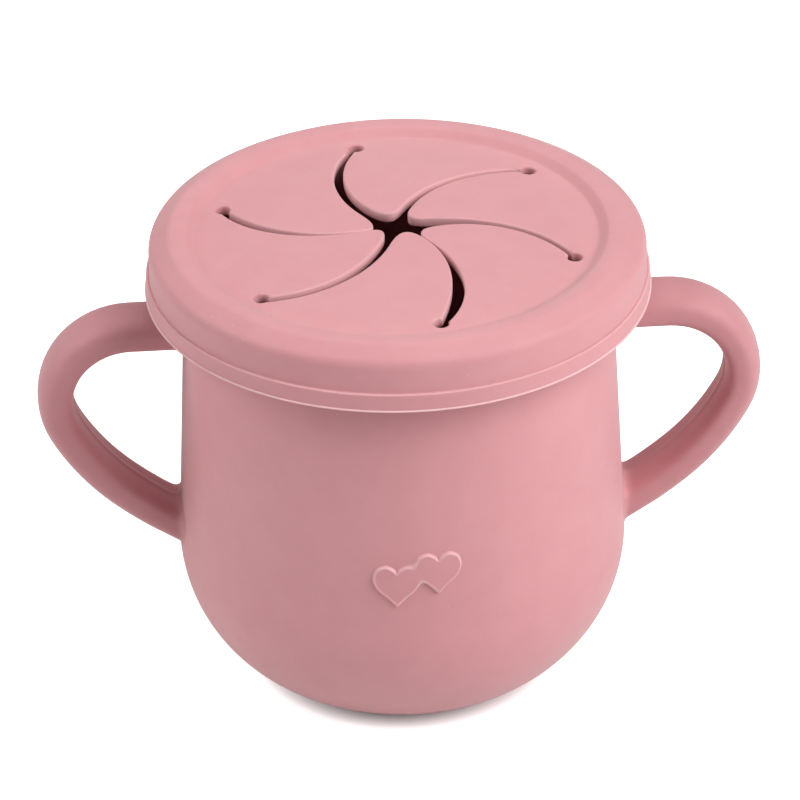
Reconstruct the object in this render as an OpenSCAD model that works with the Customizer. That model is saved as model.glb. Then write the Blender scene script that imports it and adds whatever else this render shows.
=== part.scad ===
// Toddler snack container: a soft moulded cup with two side handles, and a
// push-on lid whose six swirled petals bend to let a small hand in.
// The axis is Z, the base stands on z = 0, the handles lie along X and the
// heart relief faces -Y.

/* [Cup] */
// Height of the cup from its foot to the top of its rim
cup_h = 85; // [76:0.5:105]
// Diameter of the belly at its widest
belly_d = 81; // [76:0.5:86]
// Height of the widest point of the belly
belly_z = 26.5; // [24:0.5:30]
// Diameter of the foot
base_d = 43.5; // [40:0.5:48]
// How far the flat of the bowl's floor ends inside the foot's edge
flat_inset = 7.5; // [5:0.25:9]
// Thickness of the wall
wall_t = 2.4; // [2:0.1:3]
// Thickness of the floor
floor_t = 3; // [2.5:0.1:4]
// Width of the ring that the cup stands on
foot_w = 3.5; // [3:0.1:6]
// Depth of the recess inside the foot ring
foot_recess = 0.8; // [0.5:0.1:1.2]

/* [Rim] */
// How far the bead round the cup's mouth stands out of the wall
bead_w = 3.5; // [3:0.1:4]
// Height of the bead
rim_h = 4; // [3.5:0.1:4.2]
// Radius of the bead's upper outer edge
rim_round = 1.8; // [1:0.1:2]
// Radius of the mouth's inner edge
mouth_round = 1; // [0.6:0.1:1.2]

/* [Handles] */
// Clearance between the top arm and the lid's hem
handle_clear = 3.2; // [2.5:0.1:5]
// How far a handle's centre line reaches out from the belly
handle_out = 21.1; // [18:0.1:26]
// Centre line radius of the outer corner
handle_corner_r = 13.6; // [11:0.1:15]
// Angle below level at which the corner gives way to the long curve
handle_hand_over = 27; // [22:1:31]
// Centre line radius of the long lower curve
handle_curve_r = 43.8; // [38:0.2:49]
// Angle below level at which the long curve gives way to the root's curve
handle_root_turn = 49; // [44:1:54]
// Centre line radius of the curve that runs into the cup
handle_root_r = 74; // [64:1:84]
// Slope of the lower arm where it meets the cup
handle_slope = 25; // [22:1:30]
// Thickness of a handle across its bend
handle_t = 6.8; // [6:0.1:7.8]
// Depth of a handle along Y
handle_depth = 11.4; // [10:0.2:14]
// How much wider a handle's root is where it meets the wall
root_flare = 0.16; // [0.08:0.02:0.4]
// Distance from the wall in which the flare dies away
root_flare_len = 1.5; // [1:0.1:3]

/* [Hearts] */
// Width across one heart
heart_w = 8.5; // [7.5:0.25:10]
// Height of one heart
heart_h = 8.7; // [8:0.1:10]
// How much larger than a quarter of the heart's width its lobes are
heart_lobe_grow = 0.225; // [0.1:0.025:0.4]
// Height that the hearts stand out of the wall
heart_relief = 0.7; // [0.4:0.05:1]
// Height of the pair's middle above the belly's widest point
heart_rise = 13.1; // [10:0.1:18]
// How far the two hearts overlap sideways
heart_overlap = 1.1; // [0.5:0.1:2]
// Height that the right heart sits above the left one
heart_step_z = 2.4; // [0:0.1:4]

/* [Lid] */
// Outer diameter of the lid at its hem
lid_d = 90; // [80:0.5:100]
// Thickness of the lid's disc and petals
lid_t = 2; // [1.8:0.1:2.2]
// Thickness of the lid's ring above the cup's rim
crown_t = 2.9; // [2.8:0.1:3.6]
// Depth of the disc below the crown of the ring
disc_drop = 1.35; // [1.2:0.05:1.4]
// Rise of the disc towards its centre
dome_rise = 1.4; // [0.8:0.1:2]
// Gap between the disc's edge and the cup's mouth round it
disc_gap = 0.4; // [0.3:0.05:0.8]
// Radial width of the slope between the disc and the ring
slope_w = 2.1; // [1.6:0.1:2.4]
// Distance of the ring's crown line from the top of the slope
crown_in = 1.5; // [1.1:0.1:2]
// Radius of the ring's outer shoulder
shoulder_round = 2.2; // [1.6:0.1:2.8]
// Depth of the shoulder's centre below the crown
shoulder_drop = 3.35; // [2.9:0.05:3.8]
// Slope of the bevel between the crown and the shoulder
bevel_slope = 30; // [26:1:36]
// Thickness of the skirt above the hem band
skirt_t = 2.1; // [1.8:0.05:2.5]
// Height of the band along the hem
hem_h = 3.3; // [2.8:0.1:3.6]
// How far the hem band stands out of the ring's side
hem_step = 0.9; // [0.6:0.05:1]
// Running gap between the cup's bead and the skirt
rim_gap = 0.5; // [0.4:0.05:0.6]
// How far the snap lip reaches in under the bead
lip_grip = 1.1; // [0.8:0.05:1.3]
// Gap between the bead's underside and the snap lip
lip_gap = 0.4; // [0.3:0.05:0.5]
// Height of the snap lip down to the hem's lower edge
lip_h = 3.75; // [3.4:0.05:4.2]

/* [Petals] */
// Distance of the relief holes' middles from the disc's edge
hole_inset = 2.8; // [2.4:0.1:3.4]
// Diameter of a relief hole
hole_d = 2.8; // [2.4:0.1:3.2]
// Direction of the first relief hole
first_hole_deg = 99.4; // [90:0.2:110]
// Angle through which a slit's arc turns
slit_turn = 86.5; // [78:0.5:95]
// Width of a slit at its middle
slit_w = 1.5; // [1.2:0.05:2]
// Width of a slit at its ends
slit_end_w = 0.8; // [0.7:0.05:1]
// Radius of a petal's tip
tip_r = 3.2; // [2.4:0.1:3.8]
// Angle by which a petal's root line turns in from the line between two holes
root_turn = 9; // [6:0.5:12]
// Running gap along a petal's root
root_gap = 0.3; // [0.25:0.05:0.4]

/* [Hidden] */
$fn = 96;
SILICONE = [0.87, 0.56, 0.60];
SILICONE_LID = [0.90, 0.62, 0.66];

// Lid and bead, from the hem inwards
lid_r = lid_d / 2;
side_r = lid_r - hem_step;
skirt_r = side_r - skirt_t;
rim_r = skirt_r - rim_gap;
lip_r = rim_r - lip_grip;

// Cup
neck_r = rim_r - bead_w;
mouth_r = neck_r - wall_t;
belly_r = belly_d / 2;
base_r = base_d / 2;
bowl_flat_r = base_r - flat_inset;
bead_z = cup_h - rim_h;
bead_ease = 0.5;
neck_run = 1;
neck_z = bead_z - neck_run;
bowl_a = belly_r - bowl_flat_r;
bowl_b = belly_z / sqrt(1 - pow((base_r - bowl_flat_r) / bowl_a, 2));
bowl_steps = 14;

// Lid, its heights and its disc
disc_r = mouth_r - disc_gap;
slope_top_r = disc_r + slope_w;
crown_r = slope_top_r + crown_in;
crown_z = cup_h + crown_t;
crown_ease = 0.25;
disc_z = crown_z - disc_drop;
lip_top_z = bead_z - lip_gap;
lip_ease = 0.3;
hem_z = lip_top_z - lip_h;
crease_z = hem_z + hem_h;
crease_ease = 0.3;
hem_ease = 0.15;
shoulder = [side_r - shoulder_round, crown_z - shoulder_drop];
bevel_end = shoulder + polar(shoulder_round, 90 - bevel_slope);
bevel_start_r = bevel_end.x - (crown_z - bevel_end.y) / tan(bevel_slope);
corner_ease = 0.8;
dome_steps = 8;
cut_reach = 5;

// Petals
petal_n = 6;
pitch = 360 / petal_n;
hole_ring_r = disc_r - hole_inset;
slit_arc_r = hole_ring_r / 2 / sin(slit_turn / 2);
slit_sag = slit_arc_r - sqrt(pow(slit_arc_r, 2) - pow(hole_ring_r / 2, 2));
slit_swell = (slit_w - slit_end_w) / 2;
sag_in = slit_sag - slit_swell;
sag_out = slit_sag + slit_swell;
edge_in_r = bow_r(sag_in) - slit_end_w / 2;
edge_out_r = bow_r(sag_out) + slit_end_w / 2;
root_line_r = hole_ring_r * sin(90 - pitch / 2 - root_turn);
root_mid_z = disc_z + dome_z((root_line_r + hole_ring_r) / 2) - lid_t / 2;
knuckle_grow = 0.25;
knuckle_r = lid_t / 2 + knuckle_grow;
knuckle_stop = knuckle_r * 1.3;
petal_steps = 18;

function polar(r, a) = [r * cos(a), r * sin(a)];
function angle_of(v) = atan2(v.y, v.x);
function arc(c, r, a, b, n) = [for (i = [0 : n]) c + polar(r, a + (b - a) * i / n)];
function ellipse_arc(c, a, b, from, to, n) =
    [for (i = [0 : n]) let (t = from + (to - from) * i / n) c + [a * cos(t), b * sin(t)]];
function reversed(list) = [for (i = [len(list) - 1 : -1 : 0]) list[i]];

// Outer radius of the cup's wall at height z above the belly's widest point
function wall_r(z) = z < belly_z
    ? bowl_flat_r + bowl_a * sqrt(1 - pow((belly_z - z) / bowl_b, 2))
    : belly_r + (neck_r - belly_r) * (z - belly_z) / (neck_z - belly_z);

// Height of the domed disc above its edge
function dome_z(r) = dome_rise * (1 - pow(r / disc_r, 2));

// ---- Cup ---------------------------------------------------------------

// Outline of the cup's outside from the foot to the neck, grown by an amount
function outside_line(grow) = concat(
    ellipse_arc([bowl_flat_r, belly_z], bowl_a + grow, bowl_b,
        -asin(belly_z / bowl_b), 0, bowl_steps),
    [[neck_r + grow, neck_z]]);

function cup_profile() = concat(
    [[0, foot_recess], [base_r - foot_w - foot_recess, foot_recess], [base_r - foot_w, 0]],
    outside_line(0),
    [[neck_r, bead_z - bead_ease], [neck_r + bead_ease, bead_z]],
    [[rim_r - bead_ease, bead_z], [rim_r, bead_z + bead_ease]],
    arc([rim_r - rim_round, cup_h - rim_round], rim_round, 0, 90, 6),
    arc([mouth_r + mouth_round, cup_h - mouth_round], mouth_round, 90, 180, 5),
    [[mouth_r, neck_z]],
    ellipse_arc([bowl_flat_r, belly_z], bowl_a - wall_t, belly_z - floor_t, 0, -90, bowl_steps),
    [[0, floor_t]]);

module cup_shell() {
    color(SILICONE) rotate_extrude() polygon(cup_profile());
}

// Everything inside the cup's outer face, used to seat what joins it
module cup_outside(grow) {
    rotate_extrude() polygon(concat([[0, 0]], outside_line(grow), [[0, neck_z]]));
}

// ---- Handles -----------------------------------------------------------

handle_top_z = hem_z - handle_clear - handle_t / 2;
handle_reach = belly_r + handle_out;
corner = [handle_reach - handle_corner_r, handle_top_z - handle_corner_r];
curve_centre = corner
    + polar(handle_corner_r, -handle_hand_over) - polar(handle_curve_r, -handle_hand_over);
root_centre = curve_centre
    + polar(handle_curve_r, -handle_root_turn) - polar(handle_root_r, -handle_root_turn);
root_end_deg = handle_slope - 90;
curve_end = root_centre + polar(handle_root_r, root_end_deg);
root_depth = 6;
arm_len = (curve_end.x - belly_r + root_depth) / cos(handle_slope);
arm_start_x = neck_r - root_depth;
arm_steps = 7;
end_steps = 3;
corner_steps = 13;
curve_steps = 6;
handle_sides = 20;
section_power = 0.82;

// Stations along a circular stretch: [x, z, direction of the outward normal]
function bend(c, r, from, to, n) =
    [for (i = [0 : n - 1]) let (a = from + (to - from) * i / n, p = c + polar(r, a)) [p.x, p.y, a]];

// Stations of the whole centre line, from the top root to the lower root
function handle_path() = concat(
    [for (i = [0 : arm_steps - 1])
        [arm_start_x + (corner.x - arm_start_x) * i / arm_steps, handle_top_z, 90]],
    bend(corner, handle_corner_r, 90, -handle_hand_over, corner_steps),
    bend(curve_centre, handle_curve_r, -handle_hand_over, -handle_root_turn, curve_steps),
    bend(root_centre, handle_root_r, -handle_root_turn, root_end_deg, curve_steps),
    [for (i = [0 : end_steps])
        let (p = curve_end - polar(arm_len * i / end_steps, handle_slope)) [p.x, p.y, root_end_deg]]);

// Growth of the section towards the wall
function flare(x, z) = 1 + root_flare * exp(-max(0, x - wall_r(z)) / root_flare_len);

// One side of the rounded section, as a superellipse
function lobe(v) = sign(v) * pow(abs(v), section_power);

function handle_ring(s) = let (f = flare(s.x, s.y), out = polar(handle_t / 2 * f, s.z))
    [for (j = [0 : handle_sides - 1]) let (a = 360 * j / handle_sides)
        [s.x + out.x * lobe(cos(a)), handle_depth / 2 * f * lobe(sin(a)), s.y + out.y * lobe(cos(a))]];

module handle_sweep() {
    path = handle_path();
    last = len(path) - 1;
    points = [for (s = path) each handle_ring(s)];
    sides = [for (i = [0 : last - 1]) for (j = [0 : handle_sides - 1])
        let (a = i * handle_sides + j, b = i * handle_sides + (j + 1) % handle_sides)
            each [[a, b, b + handle_sides], [a, b + handle_sides, a + handle_sides]]];
    start_cap = [for (j = [handle_sides - 1 : -1 : 0]) j];
    end_cap = [for (j = [0 : handle_sides - 1]) last * handle_sides + j];
    polyhedron(points, concat(sides, [start_cap, end_cap]));
}

module handle_right() {
    color(SILICONE) difference() {
        handle_sweep();
        cup_outside(0);
    }
}

module handle_left() {
    color(SILICONE) mirror([1, 0, 0]) handle_right();
}

// ---- Hearts ------------------------------------------------------------

heart_lobe_r = heart_w / 4 + heart_lobe_grow;
heart_step_x = heart_w - heart_overlap;
heart_z = belly_z + heart_rise;

// One heart, its middle at the origin: two round lobes over a pointed foot
function heart_points() = let (
        c = [heart_w / 2 - heart_lobe_r, heart_h / 2 - heart_lobe_r], foot = [0, -heart_h / 2],
        start = angle_of(foot - c) + acos(heart_lobe_r / norm(c - foot)),
        half = arc(c, heart_lobe_r, start, acos(-c.x / heart_lobe_r), 12))
    concat([foot], half, [for (p = reversed(half)) if (p.x > 0.01) [-p.x, p.y]]);

module heart_relief() {
    color(SILICONE) difference() {
        intersection() {
            cup_outside(heart_relief);
            translate([0, 0, heart_z]) rotate([90, 0, 0]) linear_extrude(belly_r + 2 * heart_relief)
                for (m = [-1, 1])
                    translate([m * heart_step_x / 2, m * heart_step_z / 2]) polygon(heart_points());
        }
        cup_outside(0);
    }
}

// ---- Lid ---------------------------------------------------------------

function lid_profile() = concat(
    [for (i = [0 : dome_steps]) let (r = disc_r * i / dome_steps) [r, disc_z + dome_z(r)]],
    [[slope_top_r, crown_z - crown_ease], [crown_r, crown_z]],
    [[bevel_start_r, crown_z]],
    arc(shoulder, shoulder_round, 90 - bevel_slope, 0, 6),
    [[side_r - hem_ease, crease_z + crease_ease], [lid_r - hem_ease, crease_z]],
    [[lid_r, crease_z - crease_ease], [lid_r, hem_z], [skirt_r, hem_z]],
    [[skirt_r, cup_h - corner_ease], [skirt_r - corner_ease, cup_h]],
    [[mouth_r - disc_gap / 2, cup_h], [disc_r - disc_gap / 2, disc_z - lid_t]],
    [for (i = [dome_steps - 1 : -1 : 0])
        let (r = disc_r * i / dome_steps) [r, disc_z + dome_z(r) - lid_t]]);

// The disc alone, from which the petals are cut
module dome_disc() {
    rotate_extrude() polygon(concat(
        [for (i = [0 : dome_steps]) let (r = disc_r * i / dome_steps) [r, disc_z + dome_z(r)]],
        [for (i = [dome_steps : -1 : 0])
            let (r = disc_r * i / dome_steps) [r, disc_z + dome_z(r) - lid_t]]));
}

// Carries an outline up through the whole thickness of the disc
module through_disc() {
    translate([0, 0, disc_z - cut_reach]) linear_extrude(2 * cut_reach) children();
}

module lid_rim() {
    color(SILICONE_LID) difference() {
        rotate_extrude() polygon(lid_profile());
        through_disc() polygon(opening_points());
        for (k = [0 : petal_n - 1]) {
            relief_hole(k);
            root_cylinder(k, knuckle_r + root_gap, 0, root_len(k) + root_gap);
        }
    }
}

module lid_snap_lip() {
    color(SILICONE_LID) rotate_extrude() polygon([
        [skirt_r, lip_top_z], [lip_r + lip_ease, lip_top_z], [lip_r, lip_top_z - lip_ease],
        [lip_r, lip_top_z - 3 * lip_ease], [skirt_r - lip_ease, hem_z + lip_ease],
        [skirt_r, hem_z + lip_ease]]);
}

// ---- Petals ------------------------------------------------------------

function hole_deg(k) = first_hole_deg - pitch * k;
function hole_at(k) = polar(hole_ring_r, hole_deg(k));

// Radius and centre of the arc over a slit's chord with the given sagitta
function bow_r(sag) = (pow(hole_ring_r / 2, 2) + sag * sag) / (2 * sag);
function slit_centre(k, sag) =
    polar(hole_ring_r / 2, hole_deg(k)) - polar(bow_r(sag) - sag, hole_deg(k) + 90);

// Where two circles meet nearest to the lid's centre
function circles_meet(c1, r1, c2, r2) = let (d = c2 - c1, l = norm(d),
        a = (l * l + r1 * r1 - r2 * r2) / (2 * l), h = sqrt(r1 * r1 - a * a),
        m = c1 + d * a / l, s = [-d.y, d.x] * h / l)
    norm(m + s) < norm(m - s) ? m + s : m - s;

// Distance along a line from p in direction u to where it first meets a circle
function line_meets(p, u, c, r) = let (b = (p - c) * u, q = (p - c) * (p - c) - r * r)
    -b - sqrt(b * b - q);

// The root line of petal k starts at its relief hole
function root_dir(k) = polar(1, hole_deg(k) - 90 - pitch / 2 - root_turn);
function root_len(k) = line_meets(hole_at(k), root_dir(k), slit_centre(k + 1, sag_out), edge_out_r);
function root_start(k) = line_meets(hole_at(k), root_dir(k), slit_centre(k, sag_in), edge_in_r);
function root_end(k) = hole_at(k) + root_dir(k) * root_len(k);

// Outline of petal k: slit edge, tip, the next slit's edge and the root
function petal_points(k) = let (
        ca = slit_centre(k, sag_in), cb = slit_centre(k + 1, sag_out),
        tip = circles_meet(ca, edge_in_r - tip_r, cb, edge_out_r + tip_r),
        a0 = angle_of(hole_at(k) + root_dir(k) * root_start(k) - ca), a1 = angle_of(tip - ca),
        b0 = angle_of(tip - cb), b1 = angle_of(root_end(k) - cb),
        tip_end = angle_of(cb - tip))
    concat(
        arc(ca, edge_in_r, a0, near_turn(a0, a1), petal_steps),
        arc(tip, tip_r, a1, near_turn(a1, tip_end), 8),
        arc(cb, edge_out_r, b0, near_turn(b0, b1), petal_steps));

// Angle b moved by whole turns to lie within half a turn of a
function near_turn(a, b) = b - 360 * round((b - a) / 360);

// Outline of the hole in the lid's disc that the petals fill
function opening_points() = [for (k = [0 : petal_n - 1])
    let (cb = slit_centre(k + 1, sag_out), a = angle_of(root_end(k) - cb),
        b = near_turn(a, angle_of(hole_at(k + 1) - cb)))
    each concat([hole_at(k)], arc(cb, edge_out_r, a, b, 6))];

module relief_hole(k) {
    translate([hole_at(k).x, hole_at(k).y, disc_z - cut_reach]) cylinder(d = hole_d, h = 2 * cut_reach);
}

// A cylinder along the root line of petal k, between two places on it
module root_cylinder(k, r, from, to) {
    p = hole_at(k) + root_dir(k) * from;
    translate([p.x, p.y, root_mid_z]) rotate([0, 90, angle_of(root_dir(k))])
        cylinder(r = r, h = to - from);
}

module flap(k) {
    color(SILICONE_LID) difference() {
        intersection() {
            dome_disc();
            union() {
                through_disc() polygon(petal_points(k));
                root_cylinder(k, knuckle_r, hole_d / 2 + root_gap, root_len(k) - knuckle_stop);
            }
        }
        relief_hole(k);
    }
}

cup_shell();
handle_left();
handle_right();
heart_relief();
lid_rim();
lid_snap_lip();
flap(0);  // flap_1
flap(1);  // flap_2
flap(2);  // flap_3
flap(3);  // flap_4
flap(4);  // flap_5
flap(5);  // flap_6
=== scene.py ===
"""Toddler snack container: a soft silicone cup with two loop handles and a push-on lid
whose six swirled petals bend to let a small hand in.

Lengths in the classes are millimetres in the part's own frame: Z is the cup's axis, the foot
stands on z = 0, the handles lie along X and the heart relief faces -Y.
"""

import logging
import math
from collections.abc import Callable, Iterable, Mapping
from dataclasses import dataclass
from enum import Enum

import bmesh
import bpy
import numpy as np
from mathutils import Matrix, Vector, geometry


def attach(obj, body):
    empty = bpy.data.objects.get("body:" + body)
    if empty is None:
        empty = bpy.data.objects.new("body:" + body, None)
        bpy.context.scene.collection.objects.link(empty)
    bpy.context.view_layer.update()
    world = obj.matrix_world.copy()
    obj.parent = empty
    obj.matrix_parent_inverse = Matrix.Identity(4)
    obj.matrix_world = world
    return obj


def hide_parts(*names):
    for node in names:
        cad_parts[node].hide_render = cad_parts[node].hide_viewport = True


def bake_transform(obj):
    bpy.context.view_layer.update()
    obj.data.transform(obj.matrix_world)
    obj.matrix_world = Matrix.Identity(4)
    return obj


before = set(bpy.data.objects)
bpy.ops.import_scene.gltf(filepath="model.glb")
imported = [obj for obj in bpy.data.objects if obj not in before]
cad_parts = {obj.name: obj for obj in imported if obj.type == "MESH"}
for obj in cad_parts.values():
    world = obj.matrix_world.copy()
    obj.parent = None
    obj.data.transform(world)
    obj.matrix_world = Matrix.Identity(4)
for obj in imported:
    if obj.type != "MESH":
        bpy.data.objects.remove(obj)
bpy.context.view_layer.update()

MM = 0.001
CUP = "cup"
LID = "lid"
CUP_SLOT = "cup_silicone"
LID_SLOT = "lid_silicone"
# Point attribute: how much painted highlight a thin edge gets.
PAINTED_HIGHLIGHT_MARK = "painted_edge_highlight"
RING = -1
SLIT = -2

logging.basicConfig(level=logging.INFO, format="%(message)s")
log = logging.getLogger("snack_container")

Point = tuple[float, ...]
Face = tuple[int, ...]
Socket = bpy.types.NodeSocket
Sockets = Mapping[str, Socket]
Inputs = Mapping[str | int, object]
Sheet = tuple[np.ndarray, list[np.ndarray], np.ndarray]
EffectBuilder = Callable[["Nodes", Sockets], dict[str, Socket]]
WHITE = (1.0, 1.0, 1.0, 1.0)


# ---- Small helpers ----------------------------------------------------------------------


def ellipse(centre: Point, a: float, b: float, start: float, end: float, count: int) -> list[Point]:
    """Points along an elliptical arc of half axes a and b, in count steps; angles in degrees."""
    angles = np.radians(np.linspace(start, end, count + 1))
    return [(centre[0] + a * math.cos(t), centre[1] + b * math.sin(t)) for t in angles]


def arc(centre: Point, radius: float, start: float, end: float, count: int) -> list[Point]:
    """Points along a circular arc."""
    return ellipse(centre, radius, radius, start, end, count)


def unit(degrees: float) -> np.ndarray:
    """The unit direction at an angle in degrees."""
    return np.array([math.cos(math.radians(degrees)), math.sin(math.radians(degrees))])


def left_of(way: np.ndarray) -> np.ndarray:
    """Directions in the plane turned a quarter turn to the left."""
    return np.stack([-way[..., 1], way[..., 0]], axis=-1)


def resample(line: list[Point], step: float) -> list[Point]:
    """The same outline with no stretch longer than step, its corners kept.

    Args:
        line: points of the outline.
        step: longest distance between two points.

    Returns:
        The outline with points added along its longer stretches.
    """
    out = [line[0]]
    for a, b in zip(line, line[1:]):
        count = max(1, math.ceil(math.dist(a, b) / step))
        for i in range(1, count + 1):
            t = i / count
            out.append(tuple(p + (q - p) * t for p, q in zip(a, b)))
    return out


def curve_through(points: list[Point], count: int) -> list[Point]:
    """A smooth curve (Catmull-Rom) through the points, count steps between each two.

    Args:
        points: points that the curve passes.
        count: steps between two points.

    Returns:
        Points along the curve.
    """
    p = [np.array(q, float) for q in points]
    p = [2 * p[0] - p[1], *p, 2 * p[-1] - p[-2]]
    out = []
    for a, b, c, d in zip(p, p[1:], p[2:], p[3:]):
        for t in np.linspace(0, 1, count, endpoint=False):
            out.append(0.5 * (2 * b + (c - a) * t + (2 * a - 5 * b + 4 * c - d) * t**2
                              + (3 * b - a - 3 * c + d) * t**3))
    return [tuple(q) for q in [*out, p[-2]]]


def new_object(name: str, verts: Iterable[Point], faces: Iterable[Face]) -> bpy.types.Object:
    """A smooth-shaded mesh object from millimetre points.

    Args:
        name: the object's name.
        verts: its points.
        faces: its faces, as indices into verts.

    Returns:
        The object, linked to the scene.
    """
    mesh = bpy.data.meshes.new(name)
    points = (np.asarray(verts, float) * MM).tolist()
    mesh.from_pydata(points, [], [tuple(map(int, f)) for f in faces])
    mesh.validate()
    mesh.polygons.foreach_set("use_smooth", [True] * len(mesh.polygons))
    mesh.update()
    obj = bpy.data.objects.new(name, mesh)
    bpy.context.scene.collection.objects.link(obj)
    return obj


def weld(obj: bpy.types.Object, distance: float = 0.004) -> None:
    """Joins points closer than distance, in millimetres, and turns all faces outwards.

    Args:
        obj: the mesh object.
        distance: longest gap that is closed.
    """
    bm = bmesh.new()
    bm.from_mesh(obj.data)
    bmesh.ops.remove_doubles(bm, verts=bm.verts, dist=distance * MM)
    bmesh.ops.recalc_face_normals(bm, faces=bm.faces)
    bm.to_mesh(obj.data)
    bm.free()
    obj.data.update()


def grid_faces(rows: int, cols: int, ring: bool) -> np.ndarray:
    """Quads between rows of points, cols to a row; with ring set, each row closes on itself.

    Args:
        rows: how many rows there are.
        cols: how many points a row has.
        ring: whether each row's end joins its start.

    Returns:
        One row of four point numbers for each face.
    """
    index = np.arange(rows * cols).reshape(rows, cols)
    if ring:
        index = np.column_stack([index, index[:, 0]])
    corners = [index[:-1, :-1], index[:-1, 1:], index[1:, 1:], index[1:, :-1]]
    return np.stack(corners, axis=2).reshape(-1, 4)


def revolve(profile: list[Point], segments: int) -> tuple[np.ndarray, np.ndarray]:
    """Turns an outline about Z.

    Args:
        profile: the outline, each point a radius and a height.
        segments: how many steps round the axis.

    Returns:
        Points and quad faces.
    """
    r, z = np.array(profile, float).T
    turns = np.arange(segments) * 2 * math.pi / segments
    x, y = np.outer(r, np.cos(turns)), np.outer(r, np.sin(turns))
    verts = np.stack([x, y, np.tile(z[:, None], (1, segments))], axis=2).reshape(-1, 3)
    return verts, grid_faces(len(r), segments, ring=True)


def ring_of_points(centre: np.ndarray, radius: float, turns: np.ndarray) -> np.ndarray:
    """Points of a circle in the plan at the given turns in radians."""
    return centre + radius * np.column_stack([np.cos(turns), np.sin(turns)])


def mark_painted_highlight(obj: bpy.types.Object, amounts: np.ndarray) -> None:
    """Keeps on each point how much painted highlight it gets as a thin edge, from 0 to 1."""
    marks = obj.data.attributes.new(PAINTED_HIGHLIGHT_MARK, "FLOAT", "POINT")
    marks.data.foreach_set("value", np.asarray(amounts, np.float32))


def dress(obj: bpy.types.Object, material: bpy.types.Material, body: str, slot: str,
          *nodes: str) -> None:
    """Gives a piece its material, its body and its slot, and hides the nodes it stands for.

    Args:
        obj: the piece.
        material: its finish.
        body: the body it rides on.
        slot: its material slot; not used.
        nodes: the CAD nodes it stands for.
    """
    obj.data.materials.append(material)
    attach(obj, body)
    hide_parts(*nodes)
    log.info("%s: %d faces", obj.name, len(obj.data.polygons))


# ---- Finishes ---------------------------------------------------------------------------


class Effect(Enum):
    """Shared surface effects, each a node group built once."""

    TONE = "moulded_tone"
    GRAIN = "matte_grain"
    LINT = "lint_and_dust"
    PARTING = "parting_line"
    # Painted highlight on thin edges.
    PAINTED_HIGHLIGHT = "painted_edge_highlight"


class Nodes:
    """Short ways to add nodes to one tree and to link them."""

    def __init__(self, tree: bpy.types.NodeTree) -> None:
        """Takes the tree to work on."""
        self.tree = tree

    def feed(self, node: bpy.types.Node, inputs: Inputs) -> None:
        """Links sockets to a node's inputs, or sets the plain values given for them.

        Args:
            node: the node to feed.
            inputs: input name or number to a socket or a value.
        """
        for key, value in inputs.items():
            if isinstance(value, bpy.types.NodeSocket):
                self.tree.links.new(value, node.inputs[key])
            else:
                node.inputs[key].default_value = value

    def add(self, kind: str, inputs: Inputs, **settings: object) -> bpy.types.Node:
        """Adds a node.

        Args:
            kind: its type without the leading ShaderNode.
            inputs: input name or number to a socket or a value.
            settings: the node's own settings, set before its inputs.

        Returns:
            The new node.
        """
        node = self.tree.nodes.new(f"ShaderNode{kind}")
        for label, value in settings.items():
            setattr(node, label, value)
        self.feed(node, inputs)
        return node

    def noise(self, vector: Socket, scale: float, detail: float, **inputs: float) -> Socket:
        """The value of a noise texture on a vector."""
        inputs = {"Vector": vector, "Scale": scale, "Detail": detail, **inputs}
        return self.add("TexNoise", inputs).outputs["Fac"]

    def ramp(self, value: Socket, low: float, high: float) -> Socket:
        """Maps a value from low..high to 0..1, smoothly."""
        inputs = {"Value": value, "From Min": low, "From Max": high}
        return self.add("MapRange", inputs, interpolation_type="SMOOTHSTEP").outputs["Result"]

    def math(self, operation: str, *values: Socket | float) -> Socket:
        """The result of a math node on sockets or numbers."""
        return self.add("Math", dict(enumerate(values)), operation=operation).outputs[0]

    def mix(self, share: Socket, a: Socket, b: Socket | Point) -> Socket:
        """Goes from colour a to colour b as share goes from 0 to 1."""
        inputs = {"Factor": share, "A": a, "B": b}
        return self.add("Mix", inputs, data_type="RGBA").outputs["Result"]


def tone_effect(nodes: Nodes, source: Sockets) -> dict[str, Socket]:
    """Slow colour drift of pigmented silicone: a paler and a deeper tone in soft patches.

    Args:
        nodes: the group's tree.
        source: the group's inputs.

    Returns:
        The group's outputs.
    """
    drift = nodes.ramp(nodes.noise(source["Vector"], 22.0, 3.0), 0.32, 0.68)
    fleck = nodes.ramp(nodes.noise(source["Vector"], 160.0, 4.0, Roughness=0.6), 0.38, 0.66)
    both = nodes.math("MULTIPLY_ADD", fleck, 0.35, nodes.math("MULTIPLY", drift, 0.65))
    share = nodes.math("MULTIPLY", both, source["Amount"])
    return {"Color": nodes.mix(share, source["Base"], source["Deep"])}


def grain_effect(nodes: Nodes, source: Sockets) -> dict[str, Socket]:
    """Fine blasted-mould grain over a slight orange-peel wave.

    Args:
        nodes: the group's tree.
        source: the group's inputs.

    Returns:
        The group's outputs.
    """
    scaled = nodes.add("VectorMath", {0: source["Vector"], "Scale": source["Fineness"]},
                       operation="SCALE").outputs[0]
    grain = nodes.noise(scaled, 3200.0, 3.0, Roughness=0.65)
    height = nodes.math("MULTIPLY_ADD", nodes.noise(scaled, 420.0, 2.0), 0.9, grain)
    return {"Height": height, "Mask": nodes.ramp(grain, 0.35, 0.7)}


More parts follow.
